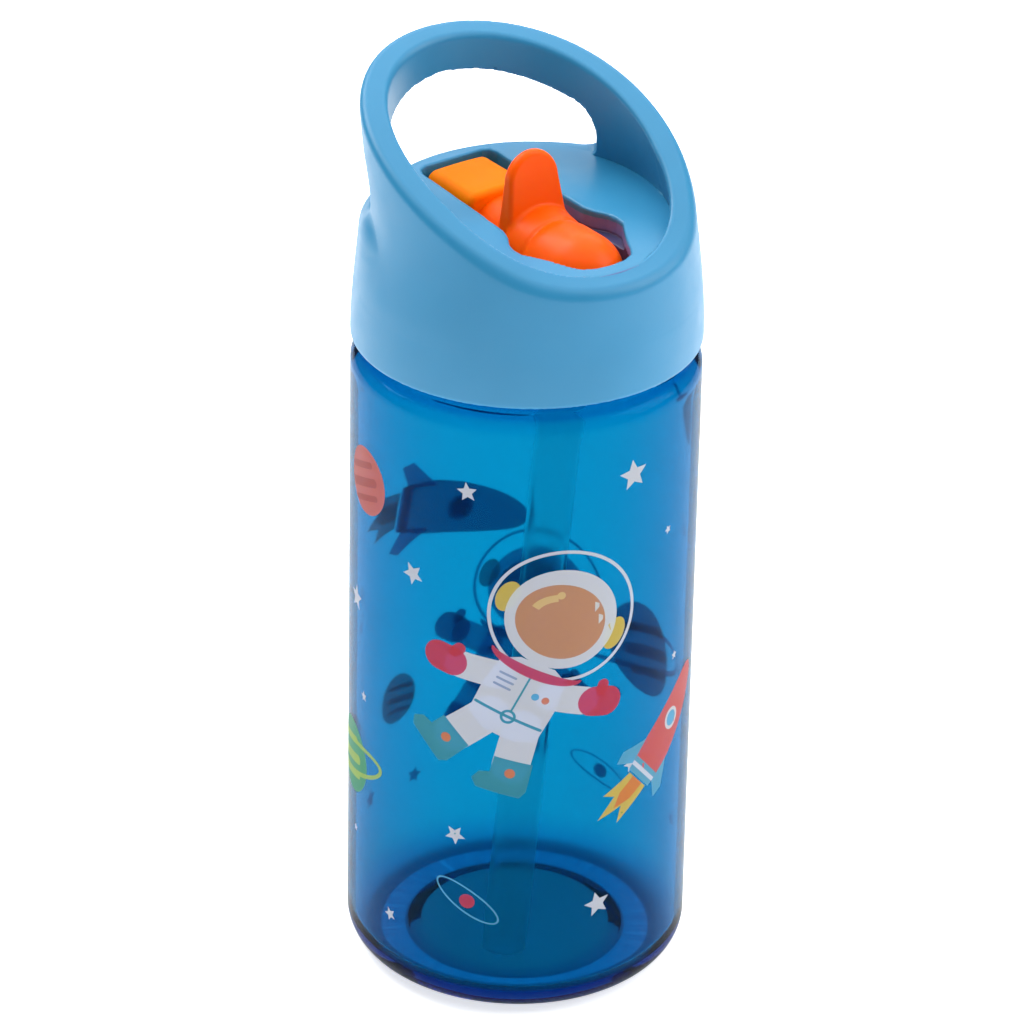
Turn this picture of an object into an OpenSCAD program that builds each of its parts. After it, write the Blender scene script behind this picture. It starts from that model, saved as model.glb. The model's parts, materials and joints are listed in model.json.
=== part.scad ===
// Kids' drinking bottle with a screw lid, a carry handle moulded into the lid and a flip-up spout.
// Millimetres. Origin at the centre of the base underside, +Z up. The drinking side faces -Y and
// the high side of the handle is at +Y; the bottle is symmetric about the X = 0 plane.

/* [Bottle] */
// Outer radius of the bottle wall
body_r = 36.95; // [36.5:0.05:36.95]
// Thickness of the bottle wall
wall = 1.8; // [1.4:0.1:2.2]
// Rounding where the wall meets the base
corner_r = 7.5; // [5:0.5:9]
// Height of the push-up in the middle of the base
punt_h = 2.0; // [0.5:0.1:2.4]

/* [Lid] */
// Height of the rim above the lid's lower edge, on the bottle's axis
rim_h = 42.0; // [40:0.1:42.2]
// How far the handle leans back, degrees
handle_lean = 9.65; // [6:0.05:10]
// Height of the handle window's upper edge above the lid's lower edge, on the bottle's axis
window_h = 32.0; // [31:0.1:34]
// Slope of the handle window's upper edge, rise over run
window_slope = 0.47; // [0.4:0.01:0.5]
// Half of the angle the handle window takes up, degrees
window_half = 65; // [50:0.5:66]
// Slope of the deck, degrees
deck_tilt = 3.0; // [2:0.1:3.4]

/* [Spout] */
// Height of the thumb tab's top above the spout's hinge line
tab_h = 21.9; // [18:0.1:24]
// Half width of the thumb tab at its foot
tab_w = 7.8; // [6:0.1:8]
// Radius of the drinking channel
bore_r = 2.6; // [2:0.1:3]

/* [Straw] */
// Outer radius of the straw
straw_r = 4.75; // [4.6:0.05:5]
// How far the straw leans, degrees
straw_lean = 5.3; // [3:0.1:6]

/* [Hidden] */
$fn = 96;

eps = 0.05;
lid_z = 147.3;                 // lower edge of the lid
shoulder_z = 144.5;            // top of the bottle's shoulder
shoulder_r = 3.6;
neck_in = 27.8;
neck_out = 30.2;
neck_top = 157.6;
collar_r = 33.0;               // plain band under the thread
collar_top = 148.4;

pitch = 3.2;                   // thread pitch; one full turn lifts the lid by this much
ridge_h = 1.1;
ridge_root = 0.85;             // half widths of a thread ridge at its root and crest
ridge_crest = 0.35;
thread_turns = 1.4;
neck_thread_z = 151.6;

skirt_in = 31.6;               // the core's threaded skirt
skirt_out = 33.4;
skirt_z = 149.0;
flange_z = 159.1;              // underside of the core's flange, on the gasket
flange_top = 161.1;
deck_r = 28.75;
deck_z = lid_z + 27.7;         // deck height on the bottle's axis
rim_bend = 272;                // the rim follows a wide cylinder lying along X
rim_axis_y = 113.9;
lip_h = 24.5;                  // the rim's height at the front, where it gets flatter
lip_slope = 18.3;
handle_r = 33.65;              // outer radius of the leaning handle
handle_y = 0.95;               // its axis passes here, 40 above the lid's lower edge
shoulder_round = 7.5;          // rounding of the shell behind the handle
relief_in = 30.9;              // relief between the core's pocket and the lid's outer wall
relief_out = 33.2;
relief_h = 8.5;
hole_r = 28.9;
hole_lean = 13.9;              // the hand hole leans back more than the handle

hinge_y = -12;
hinge_z = 166.6;
pin_r = 2.5;                   // trunnions moulded on the spout carrier
pin_bore = 2.56;
sweep_r = 14.3;                // the nose and belly turn inside a ball of this radius
nose_r = 9.6;
saddle_r = 10.1;
neck_r = 7.6;
carrier_floor = 161.4;

// radius of the lid's outer surface at height h above its lower edge
function lid_r(h) = 37 - 2.6 * (1 - exp(-pow(h / 24, 2)));
function mirror_x(half) = concat(half, [for (i = [len(half) - 1:-1:0]) if (half[i][0] > 0)
    [-half[i][0], half[i][1]]]);
function arc(cx, cy, r, a0, a1, n) = [for (i = [0:n]) let (a = a0 + (a1 - a0) * i / n)
    [cx + r * cos(a), cy + r * sin(a)]];

// outline of the opening in the deck: narrow behind, wider beside the hinge, rounded in front
slot_half = [[0, 26.8], [7.2, 26.8], [8.9, 26.0], [9.6, 24.4], [9.8, 2], [10.1, -5.0],
    [10.8, -7.2], [12.6, -10.2], [13.2, -12.6], [13.0, -14.8], [11.6, -17.0], [9.9, -19.8],
    [8.6, -22.2], [7.6, -24.4], [6.3, -26.3], [3.6, -27.6], [0, -27.9]];
// the same opening below the hinge bosses
slot_low_half = [[0, 26.8], [7.2, 26.8], [8.9, 26.0], [9.6, 24.4], [9.8, 2], [10.2, -3],
    [10.4, -18.5], [9.9, -21.0], [8.4, -24.0], [6.6, -26.2], [3.6, -27.5], [0, -27.9]];
slot_wall_half = [[0, 28.4], [6.4, 27.95], [8.6, 27.4], [10.6, 26.4], [11.6, 24.6], [11.8, 2],
    [12.4, -5.2], [15.6, -7.4], [17.2, -8.8], [17.2, -15.2], [15.2, -17.4], [12.6, -21.4],
    [9.6, -25.7], [6.4, -27.9], [3, -28.55], [0, -28.65]];
// outline of the deep part under the hinge
deep_half = [[0, 3.0], [10.2, 3.0], [10.2, -17.5], [9.0, -20.4], [6.8, -23.3], [4.0, -25.1],
    [0, -25.8]];
deep_wall_half = [[0, 4.6], [11.8, 4.6], [11.8, -18.0], [10.4, -21.5], [7.8, -24.9],
    [4.6, -26.7], [0, -27.3]];

// a helical ridge; dir = 1 stands outward from a shaft, dir = -1 inward from a socket
module thread(r, z, dir) {
    steps = 64;
    n = floor(thread_turns * steps);
    fade = steps / 12;
    function tall(i) = min(1, min(i, n - i) / fade);
    function section(i) = let (k = tall(i), a = 360 * i / steps, zc = z + pitch * i / steps,
        r0 = r - dir * 0.3, r1 = r + dir * max(0.02, ridge_h * k))
        [[r0 * cos(a), r0 * sin(a), zc - ridge_root], [r1 * cos(a), r1 * sin(a), zc - ridge_crest],
         [r1 * cos(a), r1 * sin(a), zc + ridge_crest], [r0 * cos(a), r0 * sin(a), zc + ridge_root]];
    pts = [for (i = [0:n]) each section(i)];
    function quad(a, b, c, d) = dir > 0 ? [[a, c, b], [a, d, c]] : [[a, b, c], [a, c, d]];
    sides = [for (i = [0:n - 1]) for (j = [0:3]) let (k = (j + 1) % 4)
        each quad(4 * i + j, 4 * i + 4 + j, 4 * i + 4 + k, 4 * i + k)];
    ends = concat(quad(0, 1, 2, 3), quad(4 * n + 3, 4 * n + 2, 4 * n + 1, 4 * n));
    polyhedron(points = pts, faces = concat(sides, ends), convexity = 6);
}

// everything above a plane through the bottle's axis at height z, sloping up towards +Y
module above(z, tilt) {
    translate([0, 0, z]) rotate([tilt, 0, 0]) translate([-60, -80, 0]) cube([120, 160, 80]);
}

// everything below the same plane
module below(z, tilt) {
    translate([0, 0, z]) rotate([tilt, 0, 0]) translate([-60, -80, -80]) cube([120, 160, 80]);
}

// bottle: straight wall, push-up base, plain collar and threaded neck
module bottle_body() {
    inner_r = body_r - wall;
    floor_z = punt_h + 2.2;
    outside = concat([[0, punt_h], [20, punt_h], [23.5, 0]],
        arc(body_r - corner_r, corner_r, corner_r, -90, 0, 10),
        arc(body_r - shoulder_r, shoulder_z - shoulder_r, shoulder_r, 0, 90, 8),
        [[collar_r, shoulder_z], [collar_r, collar_top], [neck_out, collar_top],
         [neck_out, neck_top - 0.4], [neck_out - 0.4, neck_top]]);
    inside = concat([[neck_in + 0.3, neck_top], [neck_in, neck_top - 0.3],
        [neck_in, collar_top - 1.5], [collar_r - 2.2, shoulder_z - 1.6]],
        arc(inner_r - 3, shoulder_z - 5.2, 3, 60, 0, 5),
        arc(inner_r - 5, floor_z + 5, 5, 0, -90, 8), [[0, floor_z]]);
    color([0.05, 0.45, 0.78, 0.5]) {
        rotate_extrude($fn = 128) polygon(concat(outside, inside));
        thread(neck_out, neck_thread_z, 1);
    }
}

// outside of the upright part of the lid, up to height top
module lid_outside(top) {
    n = floor((top - 0.7) / 2);
    profile = concat([[0, 0], [lid_r(0) - 0.7, 0]], [for (i = [0:n]) let (h = 0.7 + 2 * i)
        [lid_r(h), h]], [[lid_r(top), top], [0, top]]);
    translate([0, 0, lid_z]) rotate_extrude($fn = 128) polygon(profile);
}

// upright part of the shell, rounded behind the handle and cut level with the deck
module lid_base() {
    top = deck_z - lid_z + 1.55;
    rounded = concat([[0, 0], [lid_r(0) - 0.7, 0]], [for (h = [0.7:2:20]) [lid_r(h), h]],
        arc(lid_r(22) - shoulder_round, top - shoulder_round, shoulder_round, 0, 90, 10),
        [[0, top]]);
    difference() {
        translate([0, 0, lid_z]) rotate_extrude($fn = 128) polygon(rounded);
        above(deck_z, deck_tilt);
    }
    difference() {
        lid_outside(deck_z - lid_z + 1);
        above(deck_z, deck_tilt);
        translate([-60, 0, lid_z]) cube([120, 60, 60]);
    }
}

// leaning wall of the handle, with the window left open at the back
module handle() {
    difference() {
        intersection() {
            translate([0, handle_y, lid_z + 40]) rotate([-handle_lean, 0, 0])
                translate([0, 0, -35]) cylinder(r = handle_r, h = 65, $fn = 128);
            union() {
                lid_outside(62);
                translate([-60, 0, lid_z + 16]) cube([120, 60, 50]);
            }
            translate([-60, -60, lid_z + 12]) cube([120, 120, 60]);
        }
        difference() {
            translate([0, 0, lid_z]) rotate([0, 0, 90 - window_half])
                rotate_extrude(angle = 2 * window_half, $fn = 128)
                    translate([16, 15]) square([34, 45]);
            above(lid_z + window_h, atan(window_slope));
            below(deck_z, deck_tilt);
        }
    }
}

// lid shell: outer skirt and carry handle, cut by the curved rim and hollowed from both sides
module lid_shell() {
    rim_axis_h = rim_h - sqrt(rim_bend * rim_bend - rim_axis_y * rim_axis_y);
    color([0.42, 0.70, 0.88]) difference() {
        intersection() {
            union() {
                lid_base();
                handle();
            }
            union() {
                translate([-60, rim_axis_y, lid_z + rim_axis_h]) rotate([0, 90, 0])
                    cylinder(r = rim_bend, h = 120, $fn = 720);
                translate([0, -35, lid_z + lip_h]) rotate([lip_slope, 0, 0])
                    translate([-60, -15, -40]) cube([120, 25, 40]);
            }
        }
        // room for the core's skirt and flange
        translate([0, 0, lid_z - 1]) cylinder(r = skirt_out + 0.1, h = flange_top - lid_z + 1.05,
            $fn = 128);
        // ring-shaped relief behind the wall
        translate([0, 0, lid_z + 13]) difference() {
            cylinder(r = relief_out, h = relief_h, $fn = 128);
            cylinder(r = relief_in, h = relief_h, $fn = 128);
        }
        // round hole for the core, then the leaning hand hole above it
        translate([0, 0, lid_z + 13]) cylinder(r = hole_r, h = 18, $fn = 128);
        translate([0, 0, lid_z + 28.4]) rotate([-hole_lean, 0, 0])
            cylinder(r1 = hole_r, r2 = hole_r - 4.4, h = 36, $fn = 128);
        // the hole opens up a little towards the front, above the deck
        intersection() {
            translate([0, -1.4, lid_z + 24.2]) cylinder(r1 = hole_r + 0.4, r2 = hole_r - 5.6,
                h = 30, $fn = 128);
            above(deck_z, deck_tilt);
        }
    }
}

// the pocket the spout lies and turns in
module pocket() {
    translate([0, 0, 169.7]) linear_extrude(20) polygon(mirror_x(slot_half));
    translate([0, 0, 160.7]) linear_extrude(9.1) polygon(mirror_x(slot_low_half));
    translate([0, 0, 150.4]) linear_extrude(11) polygon(mirror_x(deep_half));
}

// lid core: threaded skirt, flange, sloping deck, spout pocket and straw nipple
module lid_core() {
    color([0.46, 0.73, 0.90]) difference() {
        union() {
            difference() {
                union() {
                    translate([0, 0, flange_z]) cylinder(r = deck_r, h = 20);
                    translate([0, 0, flange_z]) cylinder(r = skirt_out, h = flange_top - flange_z);
                    translate([0, 0, skirt_z]) cylinder(r = skirt_out, h = flange_z - skirt_z + eps);
                }
                translate([0, 0, skirt_z - 1]) cylinder(r = skirt_in, h = flange_z - skirt_z + 1);
                translate([0, 0, flange_z - 1]) cylinder(r = 26.6, h = 12.9);
            }
            translate([0, 0, 159.2]) linear_extrude(19) polygon(mirror_x(slot_wall_half));
            translate([0, 0, 148.9]) linear_extrude(10.5) polygon(mirror_x(deep_wall_half));
            translate([0, hinge_y, 138.5]) cylinder(r = straw_r - 0.85, h = 11);
            thread(skirt_in, neck_thread_z - pitch / 2, -1);
        }
        pocket();
        above(deck_z, deck_tilt);
        translate([-16.2, hinge_y, hinge_z]) rotate([0, 90, 0]) cylinder(r = pin_bore, h = 32.4);
        translate([0, hinge_y, 137]) cylinder(r = bore_r - 0.2, h = 15);
        translate([0, 15, 158]) cylinder(r = 2.05, h = 4);
    }
}

// sealing ring between the neck's top and the core's flange
module lid_gasket() {
    color([0.90, 0.92, 0.94]) translate([0, 0, neck_top + 0.02]) rotate_extrude() difference() {
        translate([27.9, 0]) square([3.3, flange_z - neck_top - 0.04]);
        translate([31.2, (flange_z - neck_top) / 2]) circle(r = 0.35, $fn = 24);
    }
}

// round bar along Y between two places on the hinge's level
module bar(r, y0, y1) {
    translate([0, y0, hinge_z]) rotate([-90, 0, 0]) cylinder(r = r, h = y1 - y0);
}

// thumb tab: an arched plate that gets thinner upwards
module thumb_tab() {
    top_r = tab_w - 1.7;
    translate([0, hinge_y, hinge_z]) intersection() {
        translate([0, 15, 0]) rotate([90, 0, 0]) linear_extrude(7) union() {
            polygon([[-tab_w, 4], [tab_w, 4], [top_r, tab_h - top_r], [-top_r, tab_h - top_r]]);
            translate([0, tab_h - top_r]) circle(r = top_r);
        }
        translate([-10, 0, 0]) rotate([90, 0, 90]) linear_extrude(20)
            polygon([[8.3, 4], [13.0, 4], [13.25, tab_h + 1], [11.3, tab_h + 1], [9.1, 9.5]]);
    }
}

// spout carrier: nose, saddle, hidden sealing belly, tab, trunnions and the mouthpiece's arm
module spout_carrier() {
    nose_y = hinge_y - 5.1;
    color([1.0, 0.36, 0.06]) difference() {
        union() {
            intersection() {
                union() {
                    bar(nose_r, nose_y, hinge_y + 4);
                    translate([0, nose_y, hinge_z]) sphere(r = nose_r);
                }
                translate([0, hinge_y, hinge_z]) sphere(r = sweep_r);
            }
            intersection() {
                translate([0, hinge_y + 3.2, hinge_z]) rotate([-90, 0, 0])
                    cylinder(r1 = saddle_r - 0.75, r2 = saddle_r, h = 6.2);
                translate([-9.3, hinge_y, hinge_z - 1.5]) cube([18.6, 10, 15]);
            }
            intersection() {
                translate([0, hinge_y, hinge_z]) sphere(r = sweep_r);
                translate([-6.8, hinge_y - 15, hinge_z - 15]) cube([13.6, 19, 15]);
            }
            difference() {
                bar(neck_r, -4, 10.0);
                translate([-10, -5, carrier_floor - 10]) cube([20, 16, 10]);
            }
            translate([-5.5, 9, 162.8]) cube([11, 13.5, 8.8]);
            translate([-15.9, hinge_y, hinge_z]) rotate([0, 90, 0])
                cylinder(r = pin_r, h = 31.8);
            thumb_tab();
        }
        bar(bore_r, -30, 30);
    }
}

// rounded rectangle
module soft_rect(w, h, r) {
    translate([r, 0]) square([w - 2 * r, h]);
    translate([0, r]) square([w, h - 2 * r]);
    for (x = [r, w - r], y = [r, h - r]) translate([x, y]) circle(r = r, $fn = 32);
}

// soft mouthpiece moulded over the carrier's arm
module mouthpiece() {
    color([1.0, 0.57, 0.08]) difference() {
        translate([-8, 26, carrier_floor]) rotate([90, 0, 0]) linear_extrude(15.9)
            soft_rect(16, 14.6, 2.4);
        translate([-5.55, 9, 162.75]) cube([11.1, 13.55, 8.9]);
        bar(bore_r, 9, 28);
    }
}

// seal at the bottom of the pocket, hollowed to suit the turning belly
module spout_seal() {
    color([0.88, 0.90, 0.92]) difference() {
        translate([0, hinge_y, 150.45]) cylinder(r = 6.2, h = 2.9);
        translate([0, hinge_y, hinge_z]) sphere(r = sweep_r + 0.05);
        translate([0, hinge_y, 150]) cylinder(r = bore_r, h = 6);
    }
}

// air valve pushed through the pocket's floor under the mouthpiece
module vent_valve() {
    color([0.88, 0.90, 0.92]) translate([0, 15, 0]) difference() {
        union() {
            translate([0, 0, 160.72]) cylinder(r = 3.2, h = 0.45);
            translate([0, 0, 159.1]) cylinder(r = 2.0, h = 1.7);
            translate([0, 0, 157.9]) cylinder(r1 = 2.2, r2 = 2.9, h = 1.25);
            translate([0, 0, 155.0]) cylinder(r1 = 0.9, r2 = 2.2, h = 2.95);
        }
        translate([0, 0, 156.2]) cylinder(r = 0.8, h = 6);
    }
}

// straw: pushed on the nipple, with a gentle bend so that its foot leans to the side
module straw() {
    bend_r = 60;
    bend_z = 136;
    in_r = straw_r - 0.8;
    foot = (bend_z - bend_r * sin(straw_lean) - 5.4) / cos(straw_lean);
    color([0.25, 0.62, 0.88, 0.6]) translate([0, hinge_y, 0]) {
        translate([0, 0, bend_z]) difference() {
            cylinder(r = straw_r, h = 12.8);
            translate([0, 0, -1]) cylinder(r = in_r, h = 15);
        }
        translate([-bend_r, 0, bend_z]) rotate([-90, 0, 0]) difference() {
            rotate_extrude(angle = straw_lean) translate([bend_r, 0]) circle(r = straw_r);
            rotate([0, 0, -1]) rotate_extrude(angle = straw_lean + 2) translate([bend_r, 0])
                circle(r = in_r);
        }
        translate([-bend_r, 0, bend_z]) rotate([0, straw_lean, 0]) translate([bend_r, 0, 0])
            difference() {
                translate([0, 0, -foot]) cylinder(r = straw_r, h = foot);
                translate([0, 0, -foot - 1]) cylinder(r = in_r, h = foot + 2);
            }
    }
}

bottle_body();
lid_shell();
lid_core();
lid_gasket();
spout_carrier();
mouthpiece();
spout_seal();
vent_valve();
straw();
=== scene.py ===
# Kids' drinking bottle with a flip-up spout: smooth moulded surfaces, printed artwork, materials,
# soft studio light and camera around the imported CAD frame. Shapes are worked out in millimetres.
import json
import math

import bmesh
import bpy
import numpy as np
from mathutils import Matrix, Vector
from mathutils.geometry import delaunay_2d_cdt


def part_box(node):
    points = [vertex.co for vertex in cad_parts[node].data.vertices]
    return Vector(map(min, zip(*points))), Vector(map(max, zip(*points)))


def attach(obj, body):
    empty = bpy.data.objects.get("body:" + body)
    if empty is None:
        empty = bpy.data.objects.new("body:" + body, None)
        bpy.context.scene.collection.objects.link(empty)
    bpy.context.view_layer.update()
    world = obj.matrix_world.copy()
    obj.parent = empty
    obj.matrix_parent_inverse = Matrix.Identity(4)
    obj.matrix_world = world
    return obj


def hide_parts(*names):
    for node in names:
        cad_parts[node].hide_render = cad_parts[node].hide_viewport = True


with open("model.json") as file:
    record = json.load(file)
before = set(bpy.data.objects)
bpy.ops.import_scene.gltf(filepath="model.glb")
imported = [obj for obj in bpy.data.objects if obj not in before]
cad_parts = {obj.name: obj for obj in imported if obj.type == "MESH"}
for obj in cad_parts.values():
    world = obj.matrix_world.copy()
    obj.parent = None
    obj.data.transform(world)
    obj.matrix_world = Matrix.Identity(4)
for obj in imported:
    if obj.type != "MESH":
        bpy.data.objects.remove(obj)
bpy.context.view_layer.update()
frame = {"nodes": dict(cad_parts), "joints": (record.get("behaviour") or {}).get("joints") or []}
MM = 0.001
JOINTS = {j["name"]: j for j in frame["joints"]}


def box_mm(node):
    lo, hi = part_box(node)
    return np.array(lo) / MM, np.array(hi) / MM


# ---------------------------------------------------------------- sizes in mm, read where they can be
BOTTLE_HI = box_mm("bottle_body")[1]
SHELL_LO, SHELL_HI = box_mm("lid_shell")
CORE_LO, CORE_HI = box_mm("lid_core")
MOUTH_LO, MOUTH_HI = box_mm("mouthpiece")
SPOUT_LO, SPOUT_HI = box_mm("spout_carrier")
BODY_R = BOTTLE_HI[0]
NECK_TOP = BOTTLE_HI[2]
LID_Z = SHELL_LO[2]
HINGE = np.array(JOINTS["spout_flip"]["pos_m"]) / MM

# The rim's top is part of a wide cylinder along X, and the handle is a cylinder leaning back.
# Names that end in _H are heights above the lid's lower edge, and those in _Y run front to back.
RIM_AXIS_Y, RIM_AXIS_H, RIM_BEND_R = 113.9, -205.0, 272.0
LEAN, LEAN_R, LEAN_Y, LEAN_H = math.radians(9.65), 33.65, 0.95, 40.0
HOLE_R, HOLE_TAPER, HOLE_LEAN, HOLE_H = 28.9, 0.122, 0.248, 28.5
FRONT_SHIFT = 1.4
WINDOW_HALF, WINDOW_CORNER = math.radians(65.0), 5.0
STRAP_H, STRAP_SLOPE = 32.0, 0.47
LIP_H, LIP_SLOPE = 24.5, 0.33
DECK_Z, DECK_TILT = LID_Z + 27.7, math.radians(3.0)
DECK_R, SKIN_R = 29.05, 31.5
SKIRT_IN, SKIRT_OUT = 31.6, 33.4
SOCKET_R, SOCKET_H = 33.5, 13.85
MOAT_IN, MOAT_OUT, MOAT_H = 30.9, 33.2, 21.5
RIM_ROUND, WINDOW_ROUND, SKIRT_ROUND = 1.9, 0.9, 0.8
FLANGE_Z, FLANGE_TOP = 159.1, 161.1
POCKET_FLOOR, SHELF, DEEP_FLOOR = 160.7, 170.3, 150.4
SWEEP_R, NOSE_R, NECK_R = 14.3, 9.6, 7.6
BORE_R = 2.6
PIN_R, PIN_HALF = 2.5, 15.9
PIN_HOLE_R, PIN_HOLE_HALF = 2.56, 16.2
VENT_Y, VENT_R = 15, 2.05
WALL = 1.8
CORNER_R = 7.5
SHOULDER_Z, SHOULDER_R = 144.5, 3.6
COLLAR_R, COLLAR_TOP = 33.0, 148.4
NECK_IN, NECK_OUT = 27.8, 30.2
STRAW_R, STRAW_LEAN = 4.75, math.radians(5.3)

# Right halves of outlines in the XY plane, from the back to the front: the pocket's opening, its
# lower part and its wall, then the deep well that the spout turns in and that well's wall.
SLOT = [(0, 26.8), (7.2, 26.8), (8.9, 26.0), (9.6, 24.4), (9.8, 2), (10.1, -5.0), (10.8, -7.2),
        (12.6, -10.2), (13.2, -12.6), (13.0, -14.8), (11.6, -17.0), (9.9, -19.8), (8.6, -22.2),
        (7.6, -24.4), (6.3, -26.3), (3.6, -27.6), (0, -27.9)]
SLOT_LOW = [(0, 26.8), (7.2, 26.8), (8.9, 26.0), (9.6, 24.4), (9.8, 2), (10.2, -3), (10.4, -18.5),
            (9.9, -21.0), (8.4, -24.0), (6.6, -26.2), (3.6, -27.5), (0, -27.9)]
SLOT_WALL = [(0, 28.4), (6.4, 27.95), (8.6, 27.4), (10.6, 26.4), (11.6, 24.6), (11.8, 2),
             (12.4, -5.2), (15.6, -7.4), (17.2, -8.8), (17.2, -15.2), (15.2, -17.4), (12.6, -21.4),
             (9.6, -25.7), (6.4, -27.9), (3, -28.55), (0, -28.65)]
DEEP = [(0, 3.0), (10.2, 3.0), (10.2, -17.5), (9.0, -20.4), (6.8, -23.3), (4.0, -25.1), (0, -25.8)]
DEEP_WALL = [(0, 4.6), (11.8, 4.6), (11.8, -18.0), (10.4, -21.5), (7.8, -24.9), (4.6, -26.7),
             (0, -27.3)]


# ---------------------------------------------------------------- distance fields
def rmax(a, b, k):
    """Both a and b, with the edge where they meet rounded to radius k."""
    return np.minimum(np.maximum(a, b), -k) + np.hypot(np.maximum(a + k, 0), np.maximum(b + k, 0))


def rmin(a, b, k):
    """Either a or b, with a fillet of radius k between them."""
    return -rmax(-a, -b, k)


def step01(v):
    """Eases from 0 to 1 as v does, and stays level beyond."""
    v = np.clip(v, 0, 1)
    return v * v * (3 - 2 * v)


def mirrored(half):
    """A whole outline from its right half."""
    return half + [(-x, y) for x, y in reversed(half) if x > 0]


def outline_field(half, soften=0.0):
    """Signed distance to a closed outline in the XY plane, as a function of x and y."""
    pts = np.array(mirrored(half), float)
    step = 0.125
    lo, hi = pts.min(0) - 6, pts.max(0) + 6
    gx, gy = np.arange(lo[0], hi[0], step), np.arange(lo[1], hi[1], step)
    px, py = np.meshgrid(gx, gy, indexing="ij")
    dist, odd = np.full(px.shape, 1e9), np.zeros(px.shape, bool)
    for a, b in zip(pts, np.roll(pts, -1, 0)):
        e = b - a
        t = np.clip(((px - a[0]) * e[0] + (py - a[1]) * e[1]) / (e @ e), 0, 1)
        dist = np.minimum(dist, np.hypot(px - a[0] - t * e[0], py - a[1] - t * e[1]))
        with np.errstate(divide="ignore", invalid="ignore"):
            cross = ((a[1] > py) != (b[1] > py)) & (px < e[0] * (py - a[1]) / e[1] + a[0])
        odd ^= cross
    field = np.where(odd, -dist, dist)
    for _ in range(int(round(soften / step))):
        padded = np.pad(field, 1, mode="edge")
        field = (padded[:-2, 1:-1] + padded[2:, 1:-1] + padded[1:-1, :-2] + padded[1:-1, 2:]
                 + 4 * field) / 8

    def read(x, y):
        u = np.clip((x - lo[0]) / step, 0, len(gx) - 1.001)
        v = np.clip((y - lo[1]) / step, 0, len(gy) - 1.001)
        i, j = u.astype(int), v.astype(int)
        u, v = u - i, v - j
        return ((field[i, j] * (1 - u) + field[i + 1, j] * u) * (1 - v)
                + (field[i, j + 1] * (1 - u) + field[i + 1, j + 1] * u) * v)
    return read


slot_field = outline_field(SLOT, 0.7)
slot_low_field = outline_field(SLOT_LOW, 1.0)
slot_wall_field = outline_field(SLOT_WALL)
deep_field = outline_field(DEEP)
deep_wall_field = outline_field(DEEP_WALL)


def slab(v, lo, hi):
    """Between two parallel planes."""
    return np.maximum(lo - v, v - hi)


def lid_radius(h):
    """The skirt narrows slightly as it rises."""
    return 37 - 2.6 * (1 - np.exp(-(np.maximum(h, 0) / 24) ** 2))


def shoulder_round(y):
    """The shoulder is rounded more at the back, under the handle."""
    return 5 + 2.5 * step01((y - 22) / 12)


def deck_gap(y, z):
    """Height above the sloping deck."""
    return (z - DECK_Z - y * math.tan(DECK_TILT)) * math.cos(DECK_TILT)


def shell_field(x, y, z):
    """Outer lid: skirt and shoulder, the leaning wall of the handle, its window and the rim's cut."""
    r, h = np.hypot(x, y), z - LID_Z
    deck = deck_gap(y, z)
    wall = r - lid_radius(h)
    shoulder = rmax(wall, deck, shoulder_round(y))
    across = (y - LEAN_Y) * math.cos(LEAN) - (h - LEAN_H) * math.sin(LEAN)
    leaning = np.hypot(x, across) - LEAN_R
    back = step01((y - 2) / 14)
    soft, firm = step01((h - 13) / 21), step01((h - 20) / 9)
    side = wall + (leaning - wall) * (soft + (firm - soft) * back)
    tucked = shoulder + 1.5 * (1 - back) * step01((h - 10) / 12)
    rim = np.hypot(y - RIM_AXIS_Y, h - RIM_AXIS_H) - RIM_BEND_R
    lip = (h - LIP_H - (y + 35) * LIP_SLOPE) / math.hypot(1, LIP_SLOPE)
    rim = np.minimum(rim, lip) - np.maximum(1.2 - np.abs(rim - lip), 0) ** 2 / 4.8
    jamb = (np.abs(np.arctan2(x, y)) - WINDOW_HALF) * np.maximum(r, 25)
    under = (h - STRAP_H - y * STRAP_SLOPE) / math.hypot(1, STRAP_SLOPE)
    window = rmax(rmax(jamb, under, WINDOW_CORNER), -shoulder, 1.5 + 4.5 * step01((r - 29.5) / 4))
    # the fillet where the handle meets the shoulder fades out at the front and on the deck
    foot = (back * step01((h - 21) / 6) * step01((jamb + 14) / 12) * (1 - 0.35 * step01(jamb / 12))
            * step01((r - 29.6) / 3.5))
    solid = rmin(tucked, rmax(side, -window, WINDOW_ROUND), 0.02 + 2.6 * foot)
    outer = rmax(solid, rim, RIM_ROUND)
    rise = np.maximum(h - HOLE_H, 0)
    narrow = np.hypot(x, y - HOLE_LEAN * rise) - HOLE_R + HOLE_TAPER * rise
    front = np.hypot(x, y + FRONT_SHIFT) - HOLE_R + 0.2 * (h - 26.2)
    narrow = np.minimum(narrow, np.maximum(front, -deck))
    socket = np.maximum(r - SOCKET_R, h - SOCKET_H)
    moat = np.maximum(slab(r, MOAT_IN, MOAT_OUT), h - MOAT_H)
    edge = 0.03 + 0.3 * step01(-y / 10) + 0.45 * step01((deck - 1) / 3) + 0.6 * step01((rim + 4) / 3)
    body = np.maximum(rmax(outer, -narrow, edge), -np.minimum(socket, moat))
    return rmax(body, -h, SKIRT_ROUND)


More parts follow.
